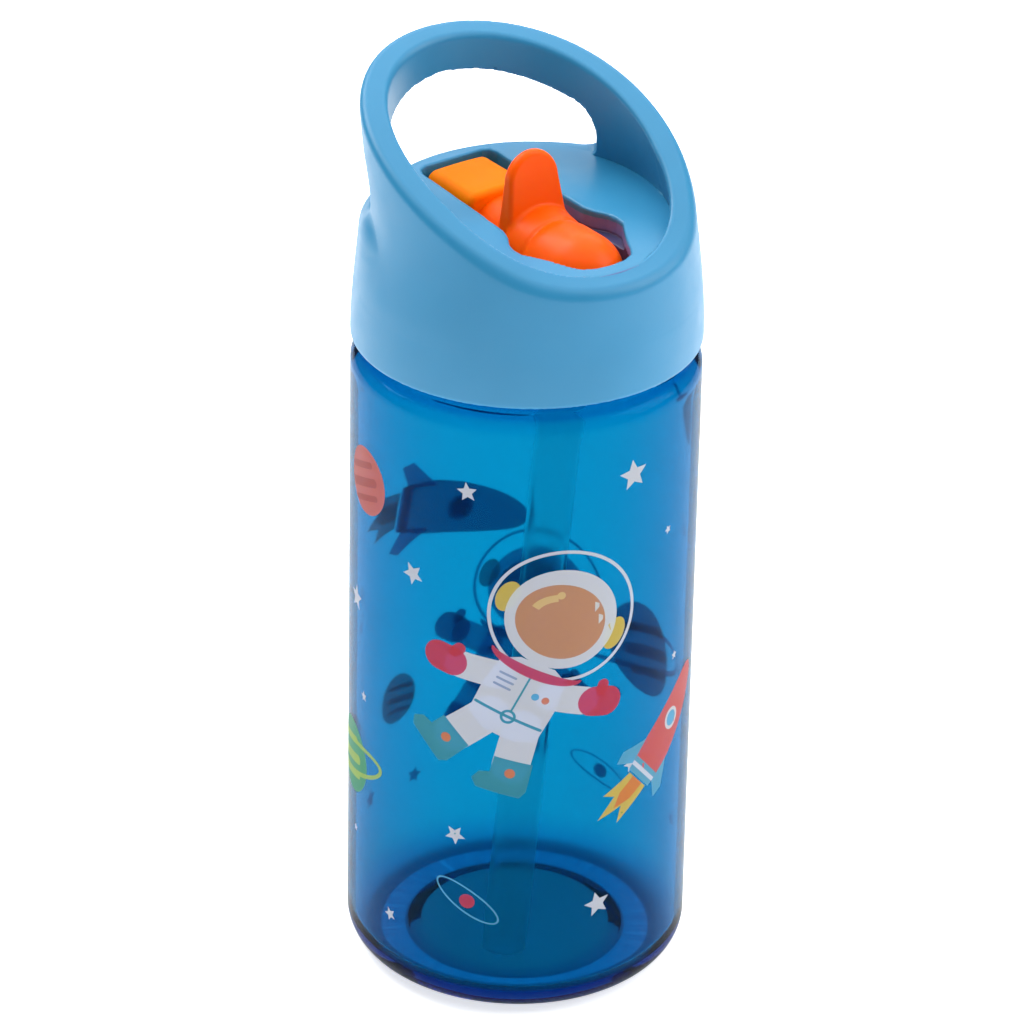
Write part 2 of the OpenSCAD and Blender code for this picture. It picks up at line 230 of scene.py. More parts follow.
def core_field(x, y, z):
    """Inner lid: deck, flange, skirt, the spout's pocket with its holes, and the straw's nipple."""
    r = np.hypot(x, y)
    deck = deck_gap(y, z)
    crown = rmax(r - lid_radius(z - LID_Z), deck, shoulder_round(y))
    disc = np.maximum(rmax(r - DECK_R, crown, 0.03), FLANGE_Z - z)
    skin = np.maximum(np.maximum(r - SKIN_R, crown - 0.04), -1.2 - deck)
    disc = np.minimum(disc, skin)
    flange = np.maximum(r - SKIRT_OUT, slab(z, FLANGE_Z, FLANGE_TOP))
    skirt = np.maximum(r - SKIRT_OUT, slab(z, CORE_LO[2] + 10.5, FLANGE_Z + 0.1))
    out = np.minimum(np.minimum(disc, flange), skirt)
    out = np.maximum(out, -np.maximum(r - SKIRT_IN, z - FLANGE_Z))
    out = np.maximum(out, -np.maximum(r - 26.6, slab(z, 158, 171)))
    out = np.minimum(out, np.maximum(np.maximum(slot_wall_field(x, y), 159.2 - z), deck))
    out = np.minimum(out, np.maximum(deep_wall_field(x, y), slab(z, 148.9, 159.4)))
    yh = y - HINGE[1]
    nipple = rmax(np.hypot(x, yh) - STRAW_R + 0.85, slab(z, 138.5, 149.5), 0.4)
    out = np.minimum(out, nipple)
    upper = np.maximum(slot_field(x, y), SHELF - z)
    lower = np.maximum(slot_low_field(x, y), slab(z, POCKET_FLOOR, SHELF + 1))
    deep = np.maximum(deep_field(x, y), slab(z, DEEP_FLOOR, 161.2))
    out = rmax(out, -np.minimum(np.minimum(upper, lower), deep), 0.5)
    pins = np.maximum(np.hypot(yh, z - HINGE[2]) - PIN_HOLE_R, np.abs(x) - PIN_HOLE_HALF)
    drain = np.maximum(np.hypot(x, yh) - BORE_R + 0.2, z - 152)
    vent = np.maximum(np.hypot(x, y - VENT_Y) - VENT_R, slab(z, 158, 162))
    return np.maximum(out, -np.minimum(np.minimum(pins, drain), vent))


def capsule_y(x, y, z, y0, y1, radius):
    """A round bar along Y with ball ends."""
    return np.sqrt(x * x + z * z + (y - np.clip(y, y0, y1)) ** 2) - radius


def spout_field(x, y, z):
    """Spout lying flat: nose, saddle, neck, thumb tab and hinge pins, with the channel through it."""
    y, z = y - HINGE[1], z - HINGE[2]
    bar = np.hypot(x, z)
    ball = np.sqrt(x * x + y * y + z * z) - SWEEP_R
    bulb = np.maximum(capsule_y(x, y, z, -5.1, 0.0, NOSE_R), ball)
    saddle = rmax(bar - 10.1 + 0.14 * np.clip(8.5 - y, 0, 6), slab(y, 3.2, 9.4), 0.9)
    saddle = rmax(rmax(saddle, np.abs(x) - 9.3, 0.6), -1.5 - z, 0.5)
    neck = rmax(np.maximum(bar - NECK_R, slab(y, 6, 23.5)), -5.2 - z, 0.8)
    arm = np.maximum(np.maximum(np.abs(x) - 5.5, slab(z, -3.8, 5.0)), slab(y, 22, 34.5))
    belly = np.maximum(ball, np.maximum(np.maximum(np.abs(x) - 6.8, y - 4), z))
    waist = 7.8 - 0.138 * (z - 4)
    tab = np.where(z > 15.7, np.hypot(x, z - 15.7) - 6.18, np.abs(x) - waist)
    lean = 11.15 + 0.085 * (z - 10)
    thick = np.clip(1.98 - 0.075 * (z - 10), 1.15, 2.3)
    tab = rmax(np.maximum(tab, 2 - z), np.abs(y - lean) - thick, 1.0)
    out = rmin(bulb, saddle, 0.6)
    out = rmin(out, neck, 1.0)
    out = rmin(out, tab, 0.9)
    out = np.minimum(np.minimum(out, arm), belly)
    pin = rmax(np.hypot(y, z) - PIN_R, np.abs(x) - PIN_HALF, 0.5)
    out = np.minimum(out, pin)
    return rmax(out, BORE_R - np.hypot(x, z), 0.3)


def mouth_field(x, y, z):
    """Soft mouthpiece: a rounded block moulded over the spout's arm."""
    mid, half = (MOUTH_LO + MOUTH_HI) / 2, (MOUTH_HI - MOUTH_LO) / 2
    px, py, pz = x - mid[0], y - mid[1], z - mid[2]
    crown = 0.25 * (px / half[0]) ** 2 * (pz > 0)
    block = rmax(np.abs(px) - half[0], np.abs(pz) - half[2] + crown, 2.4)
    block = rmax(block, np.abs(py) - half[1], 1.4)
    core = np.maximum(np.maximum(np.abs(x) - 5.55, slab(z, 162.75, 171.65)), y - 22.55)
    bore = np.hypot(x, z - HINGE[2]) - BORE_R
    return rmax(np.maximum(block, -core), -bore, 0.5)


# ---------------------------------------------------------------- meshing
def mesh_object(name, verts, faces, normals=None):
    me = bpy.data.meshes.new(name)
    faces = faces.tolist() if isinstance(faces, np.ndarray) else faces
    me.from_pydata((np.asarray(verts) * MM).tolist(), [], faces)
    me.polygons.foreach_set("use_smooth", [True] * len(me.polygons))
    if normals is not None:
        me.normals_split_custom_set_from_vertices(normals.tolist())
    me.update()
    ob = bpy.data.objects.new(name, me)
    bpy.context.scene.collection.objects.link(ob)
    return ob


def gradient(field, p, e=0.03):
    """Slope of a field at points p, from steps of e mm."""
    g = np.empty_like(p)
    for k in range(3):
        d = np.zeros(3)
        d[k] = e
        a, b = p + d, p - d
        g[:, k] = (field(*a.T) - field(*b.T)) / (2 * e)
    return g


def net(name, field, lo, hi, step):
    """Closed quad mesh of a distance field's zero surface, drawn onto the surface and evened out."""
    axes = [np.arange(a - 2 * step, b + 3 * step, step) for a, b in zip(lo, hi)]
    base = np.array([a[0] for a in axes])
    f = np.stack([field(*np.meshgrid(np.array([px]), axes[1], axes[2], indexing="ij"))[0]
                  for px in axes[0]]).astype(np.float32)
    inside = f < 0
    corners = [(i, j, k) for i in (0, 1) for j in (0, 1) for k in (0, 1)]
    n = [s - 1 for s in f.shape]

    def shifted(arr, c):
        return arr[c[0]:c[0] + n[0], c[1]:c[1] + n[1], c[2]:c[2] + n[2]]
    count = sum(shifted(inside, c).astype(np.int8) for c in corners)
    cells = np.argwhere((count > 0) & (count < 8))
    index = np.full(n, -1, np.int32)
    index[tuple(cells.T)] = np.arange(len(cells))
    total, hits = np.zeros((len(cells), 3)), np.zeros(len(cells))
    for a in corners:
        for axis in range(3):
            if a[axis]:
                continue
            b = list(a)
            b[axis] = 1
            fa, fb = f[tuple((cells + a).T)], f[tuple((cells + b).T)]
            cut = (fa < 0) != (fb < 0)
            t = np.where(cut, fa / np.where(cut, fa - fb, 1), 0)
            at = np.tile(np.array(a, float), (len(cells), 1))
            at[:, axis] = t
            total += at * cut[:, None]
            hits += cut
    verts = base + step * (cells + total / hits[:, None])
    quads = []
    around = {0: [(0, -1, -1), (0, 0, -1), (0, 0, 0), (0, -1, 0)],
              1: [(-1, 0, -1), (-1, 0, 0), (0, 0, 0), (0, 0, -1)],
              2: [(-1, -1, 0), (0, -1, 0), (0, 0, 0), (-1, 0, 0)]}
    for axis in range(3):
        lower = [slice(None)] * 3
        upper = [slice(None)] * 3
        lower[axis], upper[axis] = slice(None, -1), slice(1, None)
        a, b = inside[tuple(lower)], inside[tuple(upper)]
        for flip, where in ((False, a & ~b), (True, ~a & b)):
            e = np.argwhere(where)
            e = e[np.all((e > 0) & (e < np.array(n)), 1)]
            q = np.stack([index[tuple((e + o).T)] for o in around[axis]], 1)
            quads.append(q[:, ::-1] if flip else q)
    quads = np.concatenate(quads)
    quads = quads[(quads >= 0).all(1)]
    edges = np.concatenate([quads[:, [i, (i + 1) % 4]] for i in range(4)])

    def settle(v):
        g = gradient(field, v)
        move = field(*v.T)[:, None] * g / np.maximum((g * g).sum(1), 0.2)[:, None]
        size = np.linalg.norm(move, axis=1)
        return v - move * np.minimum(1, 0.5 * step / np.maximum(size, 1e-9))[:, None]
    degree = np.bincount(edges[:, 0], minlength=len(verts)).astype(float)
    for _ in range(4):
        for _ in range(2):
            verts = settle(verts)
        mean = np.stack([np.bincount(edges[:, 0], verts[edges[:, 1], k], len(verts)) for k in range(3)],
                        1) / degree[:, None]
        verts = verts + 0.35 * (mean - verts)
    for _ in range(3):
        verts = settle(verts)
    normals = gradient(field, verts, 0.06)
    normals /= np.maximum(np.linalg.norm(normals, axis=1), 1e-9)[:, None]
    return mesh_object(name, verts, quads, normals)


def arc_points(cx, cy, r, a0, a1, n):
    """Points of an arc from a0 to a1 degrees, in n steps."""
    return [(cx + r * math.cos(math.radians(a0 + (a1 - a0) * i / n)),
             cy + r * math.sin(math.radians(a0 + (a1 - a0) * i / n))) for i in range(n + 1)]


def lathe(name, profile, segments):
    """Turns a closed profile of (radius, height) points about Z; points on the axis are shared."""
    verts, rings = [], []
    for r, z in profile:
        if r < 1e-6:
            rings.append([len(verts)] * segments)
            verts.append((0, 0, z))
            continue
        rings.append(list(range(len(verts), len(verts) + segments)))
        verts += [(r * math.cos(2 * math.pi * i / segments), r * math.sin(2 * math.pi * i / segments), z)
                  for i in range(segments)]
    faces = []
    for k in range(len(rings) - 1):
        a, b = rings[k], rings[k + 1]
        for i in range(segments):
            j = (i + 1) % segments
            loop = [a[i], a[j], b[j], b[i]]
            faces.append(list(dict.fromkeys(loop)))
    return mesh_object(name, verts, faces)


def ridge(name, r, z, direction):
    """A soft helical thread ridge; direction 1 stands out of a shaft, -1 into a socket."""
    turns, pitch, tall, root = 1.4, 3.2, 1.1, 0.85
    per, m = 96, 9                 # steps in a turn, points across the ridge
    steps = int(turns * per)
    verts, faces = [], []
    for i in range(steps + 1):
        k = min(1.0, i / 10, (steps - i) / 10)
        a, zc = 2 * math.pi * i / per, z + pitch * i / per
        for j in range(m):
            t = j / (m - 1) * 2 - 1
            bump = math.cos(t * math.pi / 2) ** 0.6 * (0.02 + tall * k)
            w = root * t
            rr = r + direction * (bump - 0.02)
            verts.append((rr * math.cos(a), rr * math.sin(a), zc + w))
    for i in range(steps):
        for j in range(m):
            k = (j + 1) % m
            q = [i * m + j, (i + 1) * m + j, (i + 1) * m + k, i * m + k]
            faces.append(q if direction > 0 else q[::-1])
    ends = [list(range(m))[::-1], [steps * m + j for j in range(m)]]
    faces += ends if direction > 0 else [e[::-1] for e in ends]
    return mesh_object(name, verts, faces)


def tube(name, path, outer, inner, segments=64):
    """A hollow tube along a path in the XZ plane, with small rounded lips."""
    path = np.array(path, float)
    tangent = np.gradient(path, axis=0)
    tangent /= np.linalg.norm(tangent, axis=1)[:, None]
    side = np.cross(tangent, (0, 1, 0))
    lip = (outer - inner) / 2
    rings = []
    last = len(path) - 1
    for i in range(len(path)):
        rings.append((path[i], side[i], outer - (0.25 * lip if i in (0, last) else 0)))
    for i in range(last, -1, -1):
        rings.append((path[i], side[i], inner + (0.25 * lip if i in (0, last) else 0)))
    verts = []
    for centre, s, r in rings:
        for k in range(segments):
            a = 2 * math.pi * k / segments
            verts.append(centre + r * (math.cos(a) * s + math.sin(a) * np.array((0, 1, 0))))
    n = len(rings)
    faces = []
    for i in range(n):
        j = (i + 1) % n
        for k in range(segments):
            m = (k + 1) % segments
            faces.append([i * segments + k, i * segments + m, j * segments + m, j * segments + k])
    ob = mesh_object(name, verts, faces)
    bm = bmesh.new()
    bm.from_mesh(ob.data)
    bmesh.ops.recalc_face_normals(bm, faces=bm.faces)
    bm.to_mesh(ob.data)
    bm.free()
    return ob


# ---------------------------------------------------------------- materials
# The pocket wall colour is painted shade: a dark purple-blue, tinged red as painted bounce light from
# the orange spout.
LID_BLUE, POCKET_SHADE_COLOUR, BODY_BLUE = (0.024, 0.24, 0.45), (0.15, 0.19, 0.46), (0.015, 0.52, 0.57)
SPREAD = 0.03                      # how far a plastic's colour wanders to either side


def node_of(nt, kind):
    return next(n for n in nt.nodes if n.type == kind)


def new_material(name):
    m = bpy.data.materials.new(name)
    m.use_nodes = True
    return m, m.node_tree, node_of(m.node_tree, "BSDF_PRINCIPLED")


def noise(nt, scale, detail):
    coord = nt.nodes.new("ShaderNodeTexCoord")
    tex = nt.nodes.new("ShaderNodeTexNoise")
    tex.inputs["Scale"].default_value = scale
    tex.inputs["Detail"].default_value = detail
    tex.inputs["Roughness"].default_value = 0.55
    nt.links.new(coord.outputs["Object"], tex.inputs["Vector"])
    return tex


def vary(nt, tex, low, high, socket):
    """Feeds a socket with a colour or number that wanders between two values."""
    ramp = nt.nodes.new("ShaderNodeValToRGB")
    ramp.color_ramp.elements[0].position = 0.3
    ramp.color_ramp.elements[1].position = 0.7
    for e, v in zip(ramp.color_ramp.elements, (low, high)):
        e.color = (*v, 1) if isinstance(v, tuple) else (v, v, v, 1)
    nt.links.new(tex.outputs["Fac"], ramp.inputs["Fac"])
    nt.links.new(ramp.outputs["Color"], socket)


def scaled(colour, k):
    return tuple(min(1.0, c * k) for c in colour)


def bumpy(nt, b, tex, strength, depth):
    """Gives the surface a fine relief of the given depth in mm, and returns its normal."""
    bump = nt.nodes.new("ShaderNodeBump")
    bump.inputs["Strength"].default_value = strength
    bump.inputs["Distance"].default_value = depth * MM
    nt.links.new(tex.outputs["Fac"], bump.inputs["Height"])
    nt.links.new(bump.outputs["Normal"], b.inputs["Normal"])
    return bump.outputs["Normal"]


def mix_into(nt, second, share):
    """Mixes a share of a second shader into the material's first one."""
    mix = nt.nodes.new("ShaderNodeMixShader")
    mix.inputs["Fac"].default_value = share
    nt.links.new(node_of(nt, "BSDF_PRINCIPLED").outputs["BSDF"], mix.inputs[1])
    nt.links.new(second.outputs["BSDF"], mix.inputs[2])
    nt.links.new(mix.outputs["Shader"], node_of(nt, "OUTPUT_MATERIAL").inputs["Surface"])


def by_height(m, stops):
    """A base colour that changes with height; stops are (height in mm, colour)."""
    nt = m.node_tree
    coord = nt.nodes.new("ShaderNodeTexCoord")
    split = nt.nodes.new("ShaderNodeSeparateXYZ")
    span = nt.nodes.new("ShaderNodeMapRange")
    ramp = nt.nodes.new("ShaderNodeValToRGB")
    low, high = stops[0][0], stops[-1][0]
    span.inputs["From Min"].default_value = low * MM
    span.inputs["From Max"].default_value = high * MM
    for _ in stops[2:]:
        ramp.color_ramp.elements.new(0.5)
    for i, (z, c) in enumerate(stops):
        ramp.color_ramp.elements[i].position = (z - low) / (high - low)
        ramp.color_ramp.elements[i].color = (*c, 1)
    nt.links.new(coord.outputs["Object"], split.inputs["Vector"])
    nt.links.new(split.outputs["Z"], span.inputs["Value"])
    nt.links.new(span.outputs["Result"], ramp.inputs["Fac"])
    nt.links.new(ramp.outputs["Color"], node_of(nt, "BSDF_PRINCIPLED").inputs["Base Color"])


def plastic(name, colour, roughness, grain, grain_depth, sss=0.0, sss_radius=(1, 1, 1),
            specular=0.5, painted_glow=0.0):
    """Solid coloured plastic; grain and grain_depth (mm) set its fine relief, and its last argument is
    painted light: an emission in the plastic's own colour.
    """
    m, nt, b = new_material(name)
    vary(nt, noise(nt, 45.0, 2.0), scaled(colour, 1 - SPREAD), scaled(colour, 1 + SPREAD),
         b.inputs["Base Color"])
    vary(nt, noise(nt, 160.0, 4.0), roughness - 0.04, roughness + 0.05, b.inputs["Roughness"])
    bumpy(nt, b, noise(nt, grain, 2.0), 0.35, grain_depth)
    b.inputs["Subsurface Weight"].default_value = sss
    b.inputs["Subsurface Radius"].default_value = sss_radius
    b.inputs["Subsurface Scale"].default_value = 2.0 * MM
    b.inputs["Specular IOR Level"].default_value = specular
    b.inputs["Emission Color"].default_value = (*colour, 1)
    b.inputs["Emission Strength"].default_value = painted_glow
    return m


def clear_plastic(name, colour, roughness, ior, clear, specular=0.5):
    """See-through plastic, and its surface normal; clear is the share of light that passes."""
    m, nt, b = new_material(name)
    vary(nt, noise(nt, 20.0, 1.0), scaled(colour, 1 - SPREAD), scaled(colour, 1 + SPREAD),
         b.inputs["Base Color"])
    vary(nt, noise(nt, 90.0, 3.0), roughness, roughness + 0.03, b.inputs["Roughness"])
    normal = bumpy(nt, b, noise(nt, 60.0, 2.0), 0.25, 0.05)
    b.inputs["Transmission Weight"].default_value = clear
    b.inputs["IOR"].default_value = ior
    b.inputs["Specular IOR Level"].default_value = specular
    return m, normal


def bottle_plastic():
    """The body: tinted all through, and with less glare on its steep sides than plain plastic."""
    roughness, ior = 0.06, 1.30
    m, normal = clear_plastic("bottle_blue", BODY_BLUE, roughness, ior, 1.0, 0.2)
    nt = m.node_tree
    b = node_of(nt, "BSDF_PRINCIPLED")
    b.inputs["Specular Tint"].default_value = (0.1, 0.5, 1.0, 1)
    # the first shader tints light by the root of its colour, so the second one's colour is rooted
    root = nt.nodes.new("ShaderNodeGamma")
    root.inputs["Gamma"].default_value = 0.5
    nt.links.new(b.inputs["Base Color"].links[0].from_socket, root.inputs["Color"])
    soft = nt.nodes.new("ShaderNodeBsdfRefraction")
    soft.inputs["Roughness"].default_value = roughness
    soft.inputs["IOR"].default_value = ior
    nt.links.new(root.outputs["Color"], soft.inputs["Color"])
    nt.links.new(normal, soft.inputs["Normal"])
    mix_into(nt, soft, 0.6)
    volume = nt.nodes.new("ShaderNodeVolumeAbsorption")
    volume.inputs["Color"].default_value = (0, 0.53, 0.85, 1)
    volume.inputs["Density"].default_value = 0.44 / MM
    nt.links.new(volume.outputs["Volume"], node_of(nt, "OUTPUT_MATERIAL").inputs["Volume"])
    # Painted shade: the shoulder's top and the neck, in shade under the lid, are painted dark navy.
    by_height(m, ((143.2, BODY_BLUE), (144.1, (0.0, 0.04, 0.34))))
    return m


def lid_plastic(name):
    return plastic(name, LID_BLUE, 0.40, 1400.0, 0.03, 0.2, (0.4, 0.8, 1.0), 0.42)


def ink(name, colour):
    """Printed ink: light from behind comes through it faintly."""
    m = plastic(name, colour, 0.42, 700.0, 0.01, specular=0.3)
    nt = m.node_tree
    through = nt.nodes.new("ShaderNodeBsdfTranslucent")
    tint = tuple(a + 0.25 * c for a, c in zip((0.2, 0.42, 0.75), colour))
    through.inputs["Color"].default_value = (*tint, 1)
    mix_into(nt, through, 0.52)
    return m


LID_MAT = lid_plastic("lid_blue")
POCKET_SHADE_MAT = lid_plastic("lid_blue_pocket_painted_shade")
# Painted shade by height in the pocket: near-black on the shelf and below it, dark purple-blue on the
# pocket's walls, and plain lid blue only from just under the deck up.
by_height(POCKET_SHADE_MAT, ((170.6, (0.05, 0.05, 0.13)), (171.1, POCKET_SHADE_COLOUR), (173.1, POCKET_SHADE_COLOUR),
                       (173.35, LID_BLUE)))
# The spout and the mouthpiece get a small emission, painted light that brightens their shaded parts.
SPOUT_MAT = plastic("spout_orange", (0.94, 0.10, 0.0), 0.34, 1500.0, 0.02, 0.5,
                    (1.0, 0.25, 0.03), 0.14, 0.13)
MOUTH_MAT = plastic("mouthpiece_amber", (0.93, 0.20, 0.0), 0.5, 1200.0, 0.03, 0.5,
                    (1.0, 0.4, 0.05), 0.06, 0.06)
SILICONE_MAT = plastic("silicone", (0.8, 0.82, 0.85), 0.5, 900.0, 0.03, 0.3)
BOTTLE_MAT = bottle_plastic()
STRAW_MAT = clear_plastic("straw_blue", (0.93, 1.0, 1.0), 0.3, 1.03, 0.94)[0]

INKS = {
    "white": (0.86, 0.87, 0.88), "grey": (0.36, 0.42, 0.5), "red": (0.72, 0.03, 0.03),
    "coral": (0.85, 0.11, 0.04), "yellow": (0.85, 0.62, 0.02), "orange": (0.9, 0.25, 0.01),
    "teal": (0.04, 0.36, 0.40), "sky": (0.12, 0.50, 0.70), "green": (0.05, 0.42, 0.12),
    "lime": (0.45, 0.65, 0.04), "gold": (0.72, 0.30, 0.02), "shine": (0.95, 0.66, 0.25),
    "salmon": (0.78, 0.16, 0.07), "rust": (0.55, 0.08, 0.03), "pale": (0.55, 0.66, 0.78),
}
INK_MATS = {k: ink("ink_" + k, v) for k, v in INKS.items()}


def dress(ob, body, material, slot, *nodes):
    """Gives a piece its material, its body and the CAD nodes that it stands for; slot is not used."""
    ob.data.materials.clear()
    ob.data.materials.append(material)
    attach(ob, body)
    if nodes:
        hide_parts(*nodes)
    return ob


# ---------------------------------------------------------------- lid and spout
LID_STEP, SPOUT_STEP, MOUTH_STEP = 0.6, 0.42, 0.36   # mesh cells
dress(net("lid_shell_skin", shell_field, SHELL_LO, SHELL_HI, LID_STEP), "lid", LID_MAT,
      "lid_blue", "lid_shell")
dress(net("lid_core_skin", core_field, CORE_LO, CORE_HI, LID_STEP), "lid", POCKET_SHADE_MAT,
      "lid_blue", "lid_core")
dress(ridge("lid_thread", SKIRT_IN, 150.0, -1), "lid", LID_MAT, "lid_blue")
dress(net("spout_skin", spout_field, SPOUT_LO, SPOUT_HI, SPOUT_STEP), "spout", SPOUT_MAT,
      "spout_orange", "spout_carrier")
dress(net("mouthpiece_skin", mouth_field, MOUTH_LO, MOUTH_HI, MOUTH_STEP), "spout", MOUTH_MAT,
      "soft_amber", "mouthpiece")
for node in ("lid_gasket", "spout_seal", "vent_valve"):
    frame["nodes"][node].data.materials.clear()
    frame["nodes"][node].data.materials.append(SILICONE_MAT)


# ---------------------------------------------------------------- bottle and straw
def bottle_profile():
    """Half section as (radius, height): base, wall, shoulder, collar and neck, then the inside."""
    inner_r, floor_z, punt = BODY_R - WALL, 4.2, 2.0
    out = [(0, punt), (8, punt), (16, punt), (19.4, punt)]
    out += arc_points(20, punt - 1.2, 1.2, 90, 40, 4) + arc_points(24.2, 1.2, 1.2, 215, 270, 5)
    out += arc_points(BODY_R - CORNER_R, CORNER_R, CORNER_R, -90, 0, 18)
    out += [(BODY_R, z) for z in np.linspace(CORNER_R + 1, SHOULDER_Z - SHOULDER_R - 1, 30)]
    out += arc_points(BODY_R - SHOULDER_R, SHOULDER_Z - SHOULDER_R, SHOULDER_R, 0, 90, 12)
    out += [(COLLAR_R + 0.2, SHOULDER_Z), (COLLAR_R, SHOULDER_Z + 0.2), (COLLAR_R, COLLAR_TOP - 0.4)]
    out += arc_points(COLLAR_R - 0.4, COLLAR_TOP - 0.4, 0.4, 0, 90, 4)
    out += [(NECK_OUT + 0.3, COLLAR_TOP), (NECK_OUT, COLLAR_TOP + 0.3), (NECK_OUT, NECK_TOP - 0.8)]
    out += arc_points(NECK_OUT - 0.8, NECK_TOP - 0.8, 0.8, 0, 90, 5)
    out += arc_points(NECK_IN + 0.8, NECK_TOP - 0.8, 0.8, 90, 180, 5)
    out += [(NECK_IN, COLLAR_TOP - 1), (NECK_IN + 0.4, COLLAR_TOP - 2.2), (COLLAR_R - 2.2, 143.2)]
    out += arc_points(inner_r - 3, SHOULDER_Z - 5.4, 3, 62, 0, 8)
    out += [(inner_r, z) for z in np.linspace(SHOULDER_Z - 7, floor_z + 6, 30)]
    out += arc_points(inner_r - 5, floor_z + 5, 5, 0, -90, 14) + [(14, floor_z), (0, floor_z)]
    return out


dress(lathe("bottle_skin", bottle_profile(), 256), "bottle", BOTTLE_MAT, "clear_blue", "bottle_body")
dress(ridge("neck_thread", NECK_OUT, 151.6, 1), "bottle", BOTTLE_MAT, "clear_blue")


def straw_path():
    """Centre line of the straw: down from the nipple, round a bend, then straight to the floor."""
    bend_r, bend_z, top = 60.0, 136.0, 148.8
    pts = [(0, z) for z in np.linspace(top, bend_z, 8)[:-1]]
    pts += [(-bend_r * (1 - math.cos(a)), bend_z - bend_r * math.sin(a))
            for a in np.linspace(0, STRAW_LEAN, 7)]
    x0, z0 = pts[-1]
    foot = 5.6 + STRAW_R * math.sin(STRAW_LEAN)
    length = (z0 - foot) / math.cos(STRAW_LEAN)
    pts += [(x0 - math.sin(STRAW_LEAN) * t, z0 - math.cos(STRAW_LEAN) * t)
            for t in np.linspace(0, length, 24)[1:]]
    return [(x, HINGE[1], z) for x, z in pts]


dress(tube("straw_skin", straw_path(), STRAW_R, STRAW_R - 0.8), "lid", STRAW_MAT, "straw_blue",
      "straw")


# ---------------------------------------------------------------- printed artwork
FACING = math.radians(-127.0)      # the side of the bottle with the astronaut
ART = {k: ([], []) for k in INKS}
PRINT_LIFT, LAYER = 0.012, 0.008   # from the wall to the first print, and from print to print


def on_wall(a, z, layer):
    t, r = FACING + a / BODY_R, BODY_R + PRINT_LIFT + LAYER * layer
    return (r * math.cos(t), r * math.sin(t), z)


def fill(colour, outline, layer=0):
    """Prints a filled outline; points are (distance round the wall, height)."""
    pts = []
    for a, b in zip(outline, outline[1:] + outline[:1]):
        n = max(1, math.ceil(abs(b[0] - a[0]) / 0.9))
        pts += [Vector((a[0] + (b[0] - a[0]) * i / n, a[1] + (b[1] - a[1]) * i / n))
                for i in range(n)]
    xs, ys = np.array([p.x for p in pts]), np.array([p.y for p in pts])
    nx, ny = np.roll(xs, -1), np.roll(ys, -1)

    def inside(x, y):
        cross = (ys > y) != (ny > y)
        at = (nx - xs)[cross] * (y - ys[cross]) / (ny - ys)[cross] + xs[cross]
        return np.count_nonzero(x < at) % 2 == 1
    extra = [Vector((x, y)) for x in np.arange(xs.min() + 0.45, xs.max(), 0.9)
             for y in np.arange(ys.min() + 0.7, ys.max(), 3.0) if inside(x, y)]
    out = delaunay_2d_cdt(pts + extra, [], [list(range(len(pts)))], 1, 1e-5)
    verts, faces = ART[colour]
    start = len(verts)
    verts += [on_wall(v.x, v.y, layer) for v in out[0]]
    for f in out[2]:
        a, b, c = (out[0][i] for i in f[:3])
        turn = (b.x - a.x) * (c.y - a.y) - (b.y - a.y) * (c.x - a.x)
        faces.append([start + i for i in (f if turn > 0 else f[::-1])])


def placed(points, centre, angle=0.0, size=1.0):
    """An outline scaled, turned by angle in degrees, and moved to centre."""
    c, s = math.cos(math.radians(angle)), math.sin(math.radians(angle))
    return [(centre[0] + size * (x * c - y * s), centre[1] + size * (x * s + y * c))
            for x, y in points]


def oval(rx, ry, n=48, a0=0.0, a1=360.0):
    """Points of an oval, or of the arc from a0 to a1 degrees."""
    full = abs(a1 - a0) >= 360
    return [(rx * math.cos(math.radians(a0 + (a1 - a0) * i / n)),
             ry * math.sin(math.radians(a0 + (a1 - a0) * i / n))) for i in range(n if full else n + 1)]


def pill(p, q, w):
    """A rounded bar from p to q of half width w."""
    ang = math.degrees(math.atan2(q[1] - p[1], q[0] - p[0]))
    a = [(q[0] + w * math.cos(math.radians(ang + t)), q[1] + w * math.sin(math.radians(ang + t)))
         for t in np.linspace(-90, 90, 12)]
    b = [(p[0] + w * math.cos(math.radians(ang + t)), p[1] + w * math.sin(math.radians(ang + t)))
         for t in np.linspace(90, 270, 12)]
    return a + b


def band(outer, width):
    """A closed strip inside an oval outline given as (rx, ry), as two half strips."""
    halves = []
    for a0, a1 in ((0, 180), (180, 360)):
        halves.append(oval(outer[0], outer[1], 40, a0, a1)
                      + oval(outer[0] - width, outer[1] - width, 40, a1, a0))
    return halves


def star(centre, size, angle):
    pts = []
    for i in range(10):
        r = size if i % 2 == 0 else size * 0.46
        a = math.radians(angle + 36 * i + 90)
        pts.append((centre[0] + r * math.cos(a), centre[1] + r * math.sin(a)))
    fill("white", pts)


